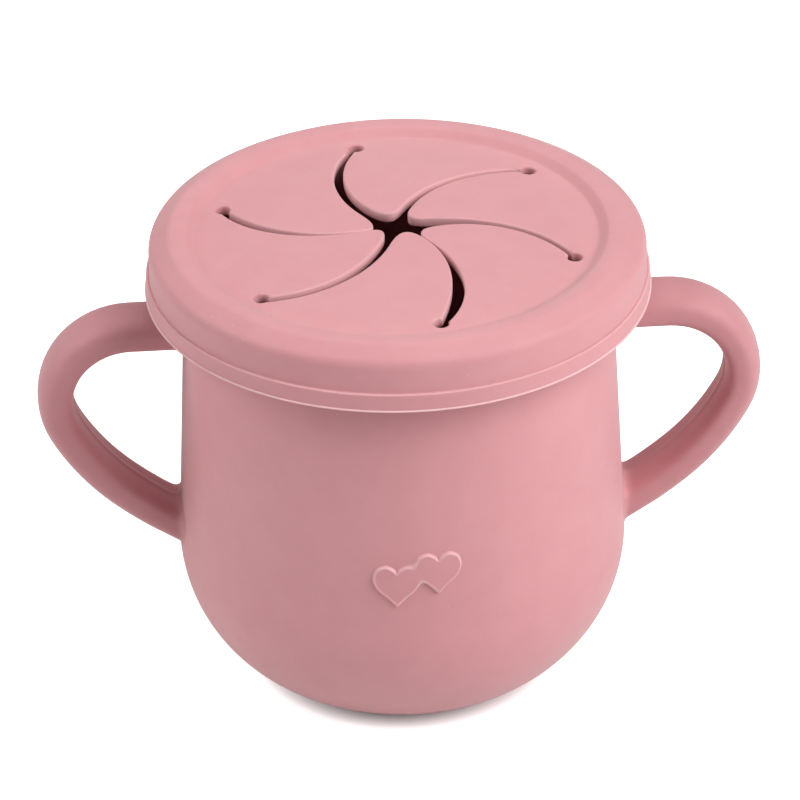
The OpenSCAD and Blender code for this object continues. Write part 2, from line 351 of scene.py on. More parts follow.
def lint_effect(nodes: Nodes, source: Sockets) -> dict[str, Socket]:
    """Specks of dust and short fibres that soft silicone picks up.

    Args:
        nodes: the group's tree.
        source: the group's inputs.

    Returns:
        The group's outputs.
    """
    specks = nodes.add("TexVoronoi", {"Vector": source["Vector"], "Scale": 520.0}, feature="F1")
    dot = nodes.ramp(specks.outputs["Distance"], 0.11, 0.05)
    where = nodes.ramp(nodes.noise(source["Vector"], 90.0, 2.0), 0.56, 0.68)
    fibre = nodes.noise(source["Vector"], 310.0, 5.0, Roughness=0.75, Distortion=3.0)
    near = nodes.math("ABSOLUTE", nodes.math("SUBTRACT", fibre, 0.52))
    thread = nodes.math("MULTIPLY", nodes.ramp(near, 0.004, 0.001), 0.5)
    marks = nodes.math("MULTIPLY", nodes.math("MAXIMUM", dot, thread), where)
    return {"Mask": nodes.math("MULTIPLY", marks, source["Amount"])}


def parting_effect(nodes: Nodes, source: Sockets) -> dict[str, Socket]:
    """The fine ridge that the two mould halves leave where they meet, on the plane y = 0.

    Args:
        nodes: the group's tree.
        source: the group's inputs.

    Returns:
        The group's outputs.
    """
    away = nodes.add("SeparateXYZ", {0: source["Vector"]}).outputs["Y"]
    off = nodes.math("DIVIDE", nodes.math("ABSOLUTE", away), source["Width"])
    return {"Mask": nodes.ramp(off, 1.0, 0.0)}


def painted_highlight_effect(nodes: Nodes, source: Sockets) -> dict[str, Socket]:
    """Painted highlight on thin outer edges: their colour turns paler, standing in for the glints
    they catch.

    Args:
        nodes: the group's tree.
        source: the group's inputs.

    Returns:
        The group's outputs.
    """
    where = nodes.math("MULTIPLY_ADD", nodes.noise(source["Vector"], 240.0, 2.0), 0.4, 0.8)
    thin = nodes.math("MULTIPLY", source["Edge"], where)
    return {"Mask": nodes.math("MULTIPLY", thin, source["Amount"])}


EFFECTS: dict[Effect, tuple[EffectBuilder, dict[str, Point | float]]] = {
    Effect.TONE: (tone_effect, {"Base": WHITE, "Deep": WHITE, "Amount": 0.5}),
    Effect.GRAIN: (grain_effect, {"Fineness": 1.0}),
    Effect.LINT: (lint_effect, {"Amount": 0.5}),
    Effect.PARTING: (parting_effect, {"Width": 0.0002}),
    Effect.PAINTED_HIGHLIGHT: (painted_highlight_effect, {"Edge": 0.0, "Amount": 0.5}),
}


class EffectLibrary:
    """Builds the shared node groups and hands them out."""

    def __init__(self) -> None:
        """Starts with no group built."""
        self._built: dict[Effect, bpy.types.NodeTree] = {}

    def get(self, effect: Effect) -> bpy.types.NodeTree:
        """The node group of an effect, built the first time it is asked for.

        Args:
            effect: which effect.

        Returns:
            Its node group.
        """
        if effect not in self._built:
            self._built[effect] = self._build(effect)
        return self._built[effect]

    @staticmethod
    def _build(effect: Effect) -> bpy.types.NodeTree:
        """Makes an effect's group with its sockets; every group takes a Vector too.

        Args:
            effect: which effect.

        Returns:
            The new node group.
        """
        tree = bpy.data.node_groups.new(effect.value, "ShaderNodeTree")
        builder, inputs = EFFECTS[effect]
        tree.interface.new_socket("Vector", in_out="INPUT", socket_type="NodeSocketVector")
        for label, value in inputs.items():
            kind = "NodeSocketColor" if isinstance(value, tuple) else "NodeSocketFloat"
            socket = tree.interface.new_socket(label, in_out="INPUT", socket_type=kind)
            socket.default_value = value
        results = builder(Nodes(tree), tree.nodes.new("NodeGroupInput").outputs)
        for label in results:
            kind = "NodeSocketColor" if label == "Color" else "NodeSocketFloat"
            tree.interface.new_socket(label, in_out="OUTPUT", socket_type=kind)
        sink = tree.nodes.new("NodeGroupOutput")
        for label, value in results.items():
            tree.links.new(value, sink.inputs[label])
        return tree


@dataclass(frozen=True)
class SiliconeFinish:
    """Soft matte silicone. Colours are linear values, lengths are millimetres."""

    name: str
    base: Point = (0.667, 0.314, 0.339)
    deep: Point = (0.606, 0.262, 0.288)
    dust: Point = (0.86, 0.74, 0.72)
    # Pale colour of the painted highlight on marked edges.
    painted_highlight_colour: Point = (0.93, 0.66, 0.68)
    tone_amount: float = 0.6
    lint: float = 0.2
    # Strength of the painted highlight on marked edges.
    edge: float = 0.75
    roughness: tuple[float, float] = (0.5, 0.64)
    grain_depth: float = 0.045
    grain_strength: float = 0.35
    parting: float = 0.0
    parting_half: float = 0.22
    index: float = 1.41
    specular: float = 0.45
    sheen: float = 0.25
    sheen_roughness: float = 0.5
    scatter: float = 0.12
    scatter_radius: Point = (1.0, 0.42, 0.35)
    scatter_depth: float = 1.6

    def build(self, effects: EffectLibrary) -> bpy.types.Material:
        """Makes the material.

        Args:
            effects: where the shared node groups come from.

        Returns:
            The finished material.
        """
        material = bpy.data.materials.new(self.name)
        material.use_nodes = True
        nodes = Nodes(material.node_tree)
        shader = material.node_tree.nodes["Principled BSDF"]
        place = nodes.add("TexCoord", {}).outputs["Object"]

        def group(effect: Effect, **values: Socket | Point | float) -> Sockets:
            """Places a shared effect with its own values and gives its outputs."""
            inputs = {"Vector": place, **values}
            return nodes.add("Group", inputs, node_tree=effects.get(effect)).outputs

        tone = group(Effect.TONE, Base=(*self.base, 1.0), Deep=(*self.deep, 1.0),
                     Amount=self.tone_amount)
        dusty = nodes.mix(group(Effect.LINT, Amount=self.lint)["Mask"], tone["Color"],
                          (*self.dust, 1.0))
        # Painted highlight: marked edges turn towards the pale highlight colour, standing in for
        # the glints they catch.
        marked = nodes.add("Attribute", {}, attribute_name=PAINTED_HIGHLIGHT_MARK).outputs["Fac"]
        pale = group(Effect.PAINTED_HIGHLIGHT, Edge=marked, Amount=self.edge)["Mask"]
        grain = group(Effect.GRAIN, Fineness=1.0)
        rough = {"Value": grain["Mask"], "To Min": self.roughness[0], "To Max": self.roughness[1]}
        bump = {"Height": grain["Height"], "Strength": self.grain_strength,
                "Distance": self.grain_depth * MM}
        normal = nodes.add("Bump", bump).outputs["Normal"]
        if self.parting > 0:
            seam = group(Effect.PARTING, Width=self.parting_half * MM)["Mask"]
            ridge = {"Height": seam, "Strength": 1.0, "Distance": self.parting * MM,
                     "Normal": normal}
            normal = nodes.add("Bump", ridge).outputs["Normal"]
        nodes.feed(shader, {
            "Base Color": nodes.mix(pale, dusty, (*self.painted_highlight_colour, 1.0)),
            "Roughness": nodes.add("MapRange", rough).outputs["Result"],
            "Normal": normal,
            "IOR": self.index,
            "Specular IOR Level": self.specular,
            "Sheen Weight": self.sheen,
            "Sheen Roughness": self.sheen_roughness,
            "Subsurface Weight": self.scatter,
            "Subsurface Radius": self.scatter_radius,
            "Subsurface Scale": self.scatter_depth * MM,
        })
        return material


# ---- Cup --------------------------------------------------------------------------------


@dataclass
class CupMoulding:
    """The cup's round body: foot, bowl, wall, rim bead and the raised hearts on its front."""

    height: float = 85.0
    belly_r: float = 40.5
    belly_z: float = 26.5
    neck_r: float = 38.0
    base_r: float = 21.75
    bowl_flat_r: float = 14.25
    wall: float = 2.4
    floor: float = 3.0
    foot_w: float = 3.5
    foot_recess: float = 0.8
    foot_round: float = 0.9
    rim_r: float = 41.5
    rim_h: float = 4.0
    bead_gap: float = 0.4
    bead_rounds: tuple[float, float, float, float] = (0.5, 0.6, 1.8, 1.0)
    segments: int = 288
    heart_w: float = 8.35
    heart_h: float = 7.95
    heart_z: float = 39.45
    heart_step: tuple[float, float] = (7.4, 2.28)
    heart_relief: float = 0.5
    heart_wall: float = 0.14
    heart_round: float = 0.28
    heart_join: float = 1.7
    heart_lip: float = 0.08
    heart_lip_in: float = 0.22
    heart_lip_half: float = 0.16
    # Strength and width of the painted highlight along the hearts' rim.
    heart_highlight: float = 0.5
    heart_highlight_half: float = 0.24
    patch_half_w: float = 11.25
    patch_half_h: float = 8.0
    patch_step: float = 0.085

    def __post_init__(self) -> None:
        """Derives the bowl's ellipse and where the straight wall ends."""
        self.neck_z = self.height - self.rim_h - 1.0
        self.bowl_a = self.belly_r - self.bowl_flat_r
        share = (self.base_r - self.bowl_flat_r) / self.bowl_a
        self.bowl_b = self.belly_z / math.sqrt(1 - share**2)

    def radius(self, z: np.ndarray | float) -> np.ndarray | float:
        """The wall's outer radius at height z.

        Args:
            z: heights.

        Returns:
            The wall's outer radius at each height.
        """
        drop = np.clip((self.belly_z - z) / self.bowl_b, 0.0, 1.0)
        bowl = self.bowl_flat_r + self.bowl_a * np.sqrt(1 - drop**2)
        rise = np.clip((z - self.belly_z) / (self.neck_z - self.belly_z), 0.0, 1.0)
        return np.where(z < self.belly_z, bowl, self.belly_r + (self.neck_r - self.belly_r) * rise)

    def on_wall(self, points: np.ndarray, lift: float) -> np.ndarray:
        """The wall's points beside the given ones, at the same heights, lifted off it.

        Args:
            points: places near the wall.
            lift: how far off the wall.

        Returns:
            The places, moved level with themselves.
        """
        x, y, z = points.T
        reach = (self.radius(z) + lift) / np.hypot(x, y)
        return np.column_stack([x * reach, y * reach, z])

    def wall_normals(self, points: np.ndarray) -> np.ndarray:
        """Outward normals of the wall at points on it.

        Args:
            points: places on the wall.

        Returns:
            A unit direction for each place.
        """
        x, y, z = points.T
        slope = (self.radius(z + 0.05) - self.radius(z - 0.05)) / 0.1
        normals = np.column_stack([x, y, -slope * np.hypot(x, y)])
        return normals / np.linalg.norm(normals, axis=1, keepdims=True)

    def profile(self) -> list[Point]:
        """The section, from the underside's middle round the outside to the floor's middle.

        Returns:
            Points of radius and height.
        """
        start = -math.degrees(math.asin(self.belly_z / self.bowl_b))
        recess_r = self.base_r - self.foot_w
        bowl = ellipse((self.bowl_flat_r, self.belly_z), self.bowl_a, self.bowl_b, start, 0, 48)
        bowl = [p for p in bowl if p[1] > self.foot_round * 0.9]
        foot = curve_through([(self.base_r - 1.6, 0.0), (self.base_r - 0.6, 0.06),
                              (self.base_r + 0.25, 0.38), bowl[0]], 4)[:-1]
        recess = curve_through([(recess_r - 2.0, self.foot_recess),
                                (recess_r - 0.9, self.foot_recess * 0.85),
                                (recess_r - 0.2, 0.12), (recess_r + 0.6, 0.0)], 4)
        bead_z = self.height - self.rim_h
        neck_end = bead_z - self.bead_gap
        neck = [(self.neck_r, self.neck_z), (self.neck_r, neck_end)]
        root, low, top, inner = self.bead_rounds
        bead = (arc((self.neck_r + root, neck_end), root, 180, 90, 4)[1:]
                + arc((self.rim_r - low, bead_z + low), low, -90, 0, 5)
                + arc((self.rim_r - top, self.height - top), top, 0, 90, 8)
                + arc((self.neck_r - self.wall + inner, self.height - inner), inner, 90, 180, 6))
        inside = ellipse((self.bowl_flat_r, self.belly_z), self.bowl_a - self.wall,
                         self.belly_z - self.floor, 0, -90, 40)
        line = [(0.0, self.foot_recess), *recess, *foot, *bowl, *neck, *bead,
                (self.neck_r - self.wall, self.neck_z), *inside, (0.0, self.floor)]
        return resample(line, 1.5)

    def build_shell(self) -> bpy.types.Object:
        """The revolved shell, with a window left for the heart panel in whole faces.

        Returns:
            The shell, its window's extent kept for the panel.
        """
        verts, faces = revolve(self.profile(), self.segments)
        step = 360 / self.segments
        half_turn = math.ceil(math.degrees(self.patch_half_w / self.belly_r) / step) * step
        x, y, z = verts[faces].mean(axis=1).T
        window = np.abs(np.degrees(np.arctan2(x, -y))) < half_turn
        window &= np.abs(z - self.heart_z) < self.patch_half_h
        window &= np.hypot(x, y) > self.radius(z) - 0.5
        obj = new_object("cup_body", verts, faces[~window])
        weld(obj)
        x, y, z = verts[faces[window].ravel()].T
        turn = np.arctan2(x, -y)
        self.window_z, self.window_turn = (z.min(), z.max()), (turn.min(), turn.max())
        return obj

    def heart_outline(self) -> np.ndarray:
        """One heart's outline about its own middle: two lobes whose full flanks meet in a point.

        Returns:
            Points across and up, in order.
        """
        half = [(0.0, -0.5), (0.1, -0.445), (0.42, -0.27), (0.71, -0.14), (0.91, 0.01), (1.0, 0.2),
                (0.86, 0.41), (0.48, 0.5), (0.16, 0.435), (0.0, 0.35)]
        right = curve_through([(x * self.heart_w / 2, z * self.heart_h) for x, z in half], 6)
        left = [(-x, z) for x, z in reversed(right) if x > 0.01]
        return np.array([*right, *left])

    def heart_depth(self, x: np.ndarray, z: np.ndarray) -> np.ndarray:
        """Depth inside the joined pair of hearts, in millimetres; negative outside.

        Args:
            x: places across the wall, from the pair's middle.
            z: places up the wall, from the pair's middle.

        Returns:
            Distance to the outline, positive inside, the two hearts flowing into one another.
        """
        points = np.column_stack([x.ravel(), z.ravel()])
        outline = self.heart_outline()
        depths = []
        for side in (-1, 1):
            line = outline + side * np.array(self.heart_step) / 2
            away = distance_to(points, line, np.roll(line, -1, axis=0))
            depths.append(np.where(inside_polygon(points, line), away, -away))
        near = np.maximum(self.heart_join - np.abs(depths[0] - depths[1]), 0) / self.heart_join
        return (np.maximum(*depths) + near**2 * self.heart_join / 4).reshape(x.shape)

    def build_hearts(self) -> bpy.types.Object:
        """The wall's panel with the two raised hearts, finely meshed so that their edge is real.

        Returns:
            The panel, which fills the shell's window.
        """
        (z0, z1), (a0, a1) = self.window_z, self.window_turn
        cols = round((a1 - a0) * self.belly_r / self.patch_step) + 1
        rows = round((z1 - z0) / self.patch_step) + 1
        turn, z = np.meshgrid(np.linspace(a0, a1, cols), np.linspace(z0, z1, rows))
        depth = self.heart_depth(turn * self.belly_r, z - self.heart_z)
        reach = self.radius(z) + self.relief_height(depth)
        verts = np.stack([reach * np.sin(turn), -reach * np.cos(turn), z], axis=2).reshape(-1, 3)
        panel = new_object("heart_panel", verts, grid_faces(rows, cols, ring=False))
        # Painted highlight along the hearts' rounded rim.
        rim = np.exp(-(((depth - self.heart_lip_in / 2) / self.heart_highlight_half) ** 2))
        mark_painted_highlight(panel, self.heart_highlight * rim.ravel())
        return panel

    def relief_height(self, depth: np.ndarray) -> np.ndarray:
        """Height of the relief at a depth inside its outline: a steep wall, then a rounded edge.

        Args:
            depth: distances inside the outline, negative outside.

        Returns:
            Height over the wall at each depth.
        """
        low = self.heart_relief - self.heart_round
        rise = np.clip((depth + self.heart_wall) / self.heart_wall, 0.0, 1.0)
        over = np.clip(self.heart_round - depth, 0, self.heart_round)
        edge = low + np.sqrt(self.heart_round**2 - over**2)
        lip = self.heart_lip * np.exp(-(((depth - self.heart_lip_in) / self.heart_lip_half) ** 2))
        return np.where(depth < 0, low * rise**2 * (3 - 2 * rise), edge + lip)

    def build(self, material: bpy.types.Material) -> None:
        """Builds the shell and the heart panel, dresses them and puts them on the cup."""
        dress(self.build_shell(), material, CUP, CUP_SLOT, "cup_shell")
        dress(self.build_hearts(), material, CUP, CUP_SLOT, "heart_relief")


@dataclass
class LoopHandle:
    """A loop handle in the plane y = 0, set on the wall at both ends.

    bends holds the centre line's arcs from the outer corner down: radius, and the angle below
    level at which the arc ends. Each arc is cut into steps as long as one of turn_step degrees
    at the radius turn_step_r. The wall is looked for within search of the arm's last ring.
    """

    cup: CupMoulding
    side: int
    top_z: float = 70.25
    reach: float = 61.6
    bends: tuple[tuple[float, float], ...] = ((13.6, -27.0), (43.8, -49.0), (74.0, -54.6))
    turn_step: float = 2.5
    turn_step_r: float = 34.0
    root_x: float = 44.2
    outer_half: float = 3.4
    inner_half: float = 3.0
    depth: float = 11.4
    outer_power: float = 0.82
    inner_power: float = 0.55
    ridge: float = 0.1
    ridge_half: float = 0.16
    sides: int = 68
    fillet_side: float = 1.7
    fillet_skew: float = 0.9
    fillet_steps: int = 9
    search: float = 60.0
    search_steps: int = 40
    sink: float = 0.01
    root_turn: float = 2.0

    def centre_line(self) -> list[tuple[float, float, float]]:
        """Stations (x, z, direction of the outward normal in degrees) from the top root down.

        Returns:
            The stations in order.
        """
        radius = self.bends[0][0]
        centre = np.array([self.reach - radius, self.top_z - radius])
        stations = [(x, self.top_z, 90.0) for x in np.linspace(self.root_x, centre[0], 4)[:-1]]
        turn = 90.0
        for radius_after, end in self.bends:
            centre = centre + unit(turn) * (radius - radius_after)
            radius = radius_after
            steps = math.ceil((turn - end) * radius / self.turn_step_r / self.turn_step)
            stations += [(*(centre + radius * unit(a)), a)
                         for a in np.linspace(turn, end, steps + 1)[:-1]]
            turn = end
        return [*stations, (*(centre + radius * unit(turn)), turn)]

    def __post_init__(self) -> None:
        """Works out the section: rounded outside, flatter inside with a fine parting ridge."""
        turns = np.linspace(0, 2 * math.pi, self.sides, endpoint=False)
        outside = np.cos(turns) > -1e-9
        power = np.where(outside, self.outer_power, self.inner_power)
        half = np.where(outside, self.outer_half, self.inner_half)
        out = half * np.sign(np.cos(turns)) * np.abs(np.cos(turns)) ** power
        across = self.depth / 2 * np.sign(np.sin(turns)) * np.abs(np.sin(turns)) ** power
        points = np.column_stack([out, across])
        u = np.linspace(1, -1, 5)
        height = self.inner_half + self.ridge * (1 + np.cos(math.pi * u)) / 2
        ridge = np.column_stack([-height, u * self.ridge_half])
        middle = self.sides // 2
        self.profile = np.concatenate([points[:middle], ridge, points[middle + 1:]])
        out, across = self.profile.T
        self.turns = np.arctan2(across / self.depth, out / self.outer_half)

    def section(self, x: float, z: float, normal: float) -> np.ndarray:
        """The section's points round a station of the centre line.

        Args:
            x: the station's place along X.
            z: its height.
            normal: its outward normal's direction in degrees.

        Returns:
            Points of one ring.
        """
        way = unit(normal)
        out, across = self.profile.T
        return np.column_stack([x + out * way[0], across, z + out * way[1]])

    def root(self, ring: np.ndarray, station: Point, turn: float) -> np.ndarray:
        """Rings that carry an end of the arm on to the wall, with a small fillet at the joint.

        Args:
            ring: the arm's ring at that end.
            station: the centre line's station there.
            turn: the arm's direction towards the wall in degrees.

        Returns:
            Rings from the arm to the wall's surface.
        """
        way = unit(turn)
        heading, centre = np.array([way[0], 0.0, way[1]]), np.array([station[0], 0.0, station[1]])
        low, high = np.zeros((len(ring), 1)), np.full((len(ring), 1), self.search)
        for _ in range(self.search_steps):
            mid = (low + high) / 2
            x, y, z = (ring + heading * mid).T
            clear = (np.hypot(x, y) > self.cup.radius(z))[:, None]
            low, high = np.where(clear, mid, low), np.where(clear, high, mid)
        hits, away = ring + heading * low, ring - centre
        normals = self.cup.wall_normals(hits)
        along = away - normals * (away * normals).sum(axis=1, keepdims=True)
        along /= np.linalg.norm(along, axis=1, keepdims=True)
        fillet = (self.fillet_side - self.fillet_skew * np.cos(self.turns))[:, None]
        starts = hits - heading * np.minimum(fillet, np.maximum(low - 0.05, 0.2))
        ends = self.cup.on_wall(hits + along * fillet, -self.sink)
        t = np.linspace(0, 1, self.fillet_steps + 1)[:, None, None]
        return (1 - t) ** 2 * starts + 2 * t * (1 - t) * hits + t**2 * ends

    def build(self, material: bpy.types.Material) -> None:
        """Lofts the handle, dresses it and puts it on the cup.

        The points at the ends take the wall's own normals, so that no seam shows there.

        Args:
            material: the handles' finish, a darker copy of the cup's silicone that paints in the
                handles' shade.
        """
        stations = self.centre_line()
        rings = [self.section(*s) for s in stations]
        top = self.root(rings[0], stations[0], 180.0)
        low = self.root(rings[-1], stations[-1], stations[-1][2] - 90 - self.root_turn)
        rings = [*top[::-1], *rings, *low]
        verts = np.concatenate(rings)
        verts[:, 0] *= self.side
        n = len(self.profile)
        name = "handle_right" if self.side > 0 else "handle_left"
        faces = grid_faces(len(rings), n, ring=True)[:, :: self.side]
        obj = new_object(f"{name}_loop", verts, faces)
        ends = [*range(n), *range(-n, 0)]
        normals = np.array([v.normal for v in obj.data.vertices])
        normals[ends] = self.cup.wall_normals(verts[ends])
        obj.data.normals_split_custom_set_from_vertices(normals.tolist())
        dress(obj, material, CUP, CUP_SLOT, name)


# ---- Lid --------------------------------------------------------------------------------


@dataclass(frozen=True)
class SlitShape:
    """How one slit runs: offsets of its two edges from its arc at the lid's four stations.

    Offsets are positive towards the slit's outer (counter-clockwise) side. The inner edge bounds
    the petal on the clockwise side, the outer edge the petal before it.
    """

    inner: tuple[float, float, float, float]
    outer: tuple[float, float, float, float]


@dataclass(frozen=True)
class PetalTip:
    """Where a petal's tip starts to round off, as shares of the two slits that bound it."""

    start: float
    end: float


@dataclass
class Slit:
    """One curved slit from the lid's middle to its relief hole."""

    hole_deg: float
    shape: SlitShape
    hole_ring_r: float = 32.4
    arc_r: float = 23.64
    stations: tuple[float, float, float, float] = (0.1, 0.3, 0.6, 0.95)

    def __post_init__(self) -> None:
        """Places the slit's arc and runs smooth curves through its edges' offsets."""
        self.out = unit(self.hole_deg)
        self.left = left_of(self.out)
        self.hole = self.out * self.hole_ring_r
        sag = self.arc_r - math.sqrt(self.arc_r**2 - (self.hole_ring_r / 2) ** 2)
        self.centre = self.hole / 2 - self.left * (self.arc_r - sag)
        self.half_turn = math.asin(self.hole_ring_r / 2 / self.arc_r)
        self.inner = np.polynomial.Polynomial.fit(self.stations, self.shape.inner, 3)
        self.outer = np.polynomial.Polynomial.fit(self.stations, self.shape.outer, 3)

    def at(self, t: np.ndarray | float, offset: np.ndarray | float) -> np.ndarray:
        """Points along the slit, offset to its outer side.

        Args:
            t: shares of the slit's length.
            offset: distances to its outer side.

        Returns:
            One point for each share.
        """
        turn = self.half_turn * (2 * np.asarray(t) - 1)
        away = np.sin(turn)[..., None] * self.out + np.cos(turn)[..., None] * self.left
        return self.centre + away * np.asarray(self.arc_r + offset)[..., None]

    def inner_at(self, t: np.ndarray | float, inset: float = 0.0) -> np.ndarray:
        """Points on the inner edge, moved into the petal by inset."""
        return self.at(t, self.inner(t) - inset)

    def outer_at(self, t: np.ndarray | float, inset: float = 0.0) -> np.ndarray:
        """Points on the outer edge, moved into the petal by inset."""
        return self.at(t, self.outer(t) + inset)

    def locate(self, points: np.ndarray) -> tuple[np.ndarray, np.ndarray]:
        """Where points lie: share of the slit's length, and distance from it to its outer side.

        Args:
            points: places in the plan.

        Returns:
            The shares and the distances.
        """
        d = points - self.centre
        along, up = d @ self.out, d @ self.left
        turn = np.arctan2(along, up)
        return (turn / self.half_turn + 1) / 2, np.hypot(along, up) - self.arc_r


@dataclass
class SwirlLid:
    """The lid: a domed disc cut into six petals, a raised ring, and a skirt with its hem band."""

    cup: CupMoulding
    crown_z: float = 87.9
    disc_drop: float = 1.35
    disc_r: float = 35.2
    dome_rise: float = 1.37
    bevel_slope: float = 30.0
    bevel_round: float = 2.5
    shoulder_round: float = 2.2
    shoulder_drop: float = 3.35
    thickness: float = 2.0
    edge_round: float = 0.38
    lid_r: float = 45.0
    side_r: float = 44.1
    hem_z: float = 76.85
    hem_h: float = 3.3
    skirt_r: float = 42.0
    lip_r: float = 40.4
    lip_top: float = 80.6
    crease_round: float = 0.25
    ledge_round: float = 0.35
    flash: float = 0.28
    flash_h: float = 0.22
    # Painted highlight on the moulding flash and on the ledge over the hem band.
    flash_highlight: float = 0.85
    ledge_highlight: float = 0.45
    # Strength and width of the painted highlight along the slit and hole edges.
    slit_highlight: float = 0.45
    slit_highlight_half: float = 0.2
    slope_rise: tuple[Point, ...] = ((0.0, 0.0), (0.45, 0.05), (0.9, 0.30), (1.9, 1.0), (2.4, 1.2),
                                     (3.3, 1.32), (4.1, 1.35))
    hole_ring_r: float = 32.4
    hole_r: float = 1.4
    hole_steps: int = 40
    slit_steps: int = 84
    slit_end: float = 1.02
    root_steps: int = 45
    edge_insets: tuple[float, ...] = (0.04, 0.12, 0.24, 0.4, 0.62)
    grid_step: float = 0.95
    grid_gap: float = 0.8
    row_share: float = 0.866
    root_before: float = 1.6
    root_after: float = 4.5
    first_hole_deg: float = 99.4
    petal_turn: tuple[float, float] = (-90.0, 75.0)
    root_turn: float = 9.0
    segments: int = 240
    slit_shapes: tuple[SlitShape, ...] = (
        SlitShape((-2.4, -1.7, -1.05, -0.45), (0.7, 0.65, 0.7, 0.7)),
        SlitShape((-0.85, -0.6, -0.5, -0.35), (0.9, 0.9, 0.65, 0.6)),
        SlitShape((-2.0, -1.2, -0.6, -0.5), (1.9, 0.8, 0.47, 0.45)),
        SlitShape((0.5, -0.05, -1.0, -0.6), (0.62, 0.45, 0.95, 0.95)),
        SlitShape((-1.8, -1.9, -1.15, -0.25), (-0.2, -0.15, 0.5, 1.2)),
        SlitShape((-1.27, -1.05, -0.8, -0.5), (-1.15, -0.65, 0.5, 0.9)),
    )
    tips: tuple[PetalTip, ...] = (
        PetalTip(0.26, 0.21), PetalTip(0.2, 0.16), PetalTip(0.2, 0.18),
        PetalTip(0.17, 0.15), PetalTip(0.17, 0.15), PetalTip(0.16, 0.22),
    )

    def __post_init__(self) -> None:
        """Derives the disc's height and the slits."""
        self.disc_z = self.crown_z - self.disc_drop
        pitch = 360 / len(self.slit_shapes)
        self.slits = [Slit(self.first_hole_deg - pitch * k, shape, self.hole_ring_r)
                      for k, shape in enumerate(self.slit_shapes)]
        self.chord_r = self.hole_ring_r * math.cos(math.pi / len(self.slits))

    def surface(self, points: np.ndarray) -> np.ndarray:
        """Height of the disc's upper face over points of the plan."""
        r2 = (points**2).sum(axis=1)
        return self.disc_z + self.dome_rise * (1 - r2 / self.disc_r**2)

    def plan(self) -> tuple[np.ndarray, np.ndarray, np.ndarray]:
        """Triangulates the disc's plan and sorts the triangles.

        Returns:
            Points, triangles, and for each triangle its petal's number, RING or SLIT.
        """
        points: list[np.ndarray] = []
        edges: list[tuple[int, int]] = []

        def line(stretch: np.ndarray, closed: bool = False) -> None:
            """Adds a line of points joined by edges that the triangles have to keep.

            Args:
                stretch: its points.
                closed: whether its end joins its start.
            """
            start, n = len(points), len(stretch)
            points.extend(stretch)
            edges.extend((start + i, start + i + 1) for i in range(n - 1))
            if closed:
                edges.append((start + n - 1, start))

        turns = np.arange(self.segments) * 2 * math.pi / self.segments
        line(ring_of_points(np.zeros(2), self.disc_r, turns), closed=True)
        circle = np.arange(self.hole_steps) * 2 * math.pi / self.hole_steps
        self.tip_lines = [self._tip_line(k) for k in range(len(self.slits))]
        for k, slit in enumerate(self.slits):
            inner_ts = np.linspace(self.tips[k].start, self.slit_end, self.slit_steps)
            outer_ts = np.linspace(self.tips[k - 1].end, self.slit_end, self.slit_steps)
            line(slit.inner_at(inner_ts))
            line(slit.outer_at(outer_ts))
            line(ring_of_points(slit.hole, self.hole_r, circle), closed=True)
            after = self.slits[(k + 1) % len(self.slits)]
            line(np.linspace(slit.hole, after.hole, self.root_steps))
            line(self.tip_lines[k])
            for inset in self.edge_insets:
                points.extend(slit.inner_at(inner_ts[:-2], inset))
                points.extend(slit.outer_at(outer_ts[:-2], inset))
                points.extend(ring_of_points(slit.hole, self.hole_r + inset, circle))
                points.extend(self._tip_inset(k, inset))
        points.extend(self._grid())
        found = geometry.delaunay_2d_cdt([Vector(p) for p in points], edges, [], 0, 1e-5)
        verts, tris = np.array([tuple(v) for v in found[0]]), np.array(found[2])
        return verts, tris, self._sort(verts[tris].mean(axis=1))

    def _grid(self) -> np.ndarray:
        """A grid of staggered points on the disc, clear of its border, the slits and the holes.

        Returns:
            Points of the plan.
        """
        step, gap = self.grid_step, self.grid_gap
        y = np.arange(-self.disc_r, self.disc_r, step * self.row_share)
        x, y = np.meshgrid(np.arange(-self.disc_r, self.disc_r, step), y)
        x[1::2] += step / 2
        grid = np.column_stack([x.ravel(), y.ravel()])
        clear = np.hypot(*grid.T) < self.disc_r - 0.5
        for slit in self.slits:
            t, off = slit.locate(grid)
            near = (off > slit.inner(t) - gap) & (off < slit.outer(t) + gap)
            clear &= ~(near & (t > 1 - self.slit_end) & (t < self.slit_end))
            clear &= np.hypot(*(grid - slit.hole).T) >= self.hole_r + gap
        return grid[clear]

    def _tip_line(self, k: int) -> np.ndarray:
        """The rounded tip of petal k, from one slit's edge to the next one's, tangent to both.

        Args:
            k: the petal's number.

        Returns:
            Points along the tip.
        """
        tip, a, b = self.tips[k], self.slits[k], self.slits[(k + 1) % len(self.slits)]
        first, second = a.inner_at(tip.start), b.outer_at(tip.end)
        along_a = first - a.inner_at(tip.start + 0.01)
        along_b = second - b.outer_at(tip.end + 0.01)
        reach = np.linalg.solve(np.column_stack([along_a, -along_b]), second - first)
        corner = first + along_a * reach[0]
        ts = np.linspace(0, 1, 25)[:, None]
        return (1 - ts) ** 2 * first + 2 * ts * (1 - ts) * corner + ts**2 * second

    def _tip_inset(self, k: int, inset: float) -> np.ndarray:
        """Points inside petal k at a distance from its rounded tip.

        Args:
            k: the petal's number.
            inset: distance from the tip's line.

        Returns:
            One point for each step of the line.
        """
        line = self.tip_lines[k]
        inward = (line[0] + line[-1]) / 2 - line[len(line) // 2]
        normal = left_of(np.diff(line, axis=0))
        normal /= np.linalg.norm(normal, axis=1, keepdims=True)
        return (line[:-1] + line[1:]) / 2 + normal * np.copysign(inset, normal @ inward)[:, None]

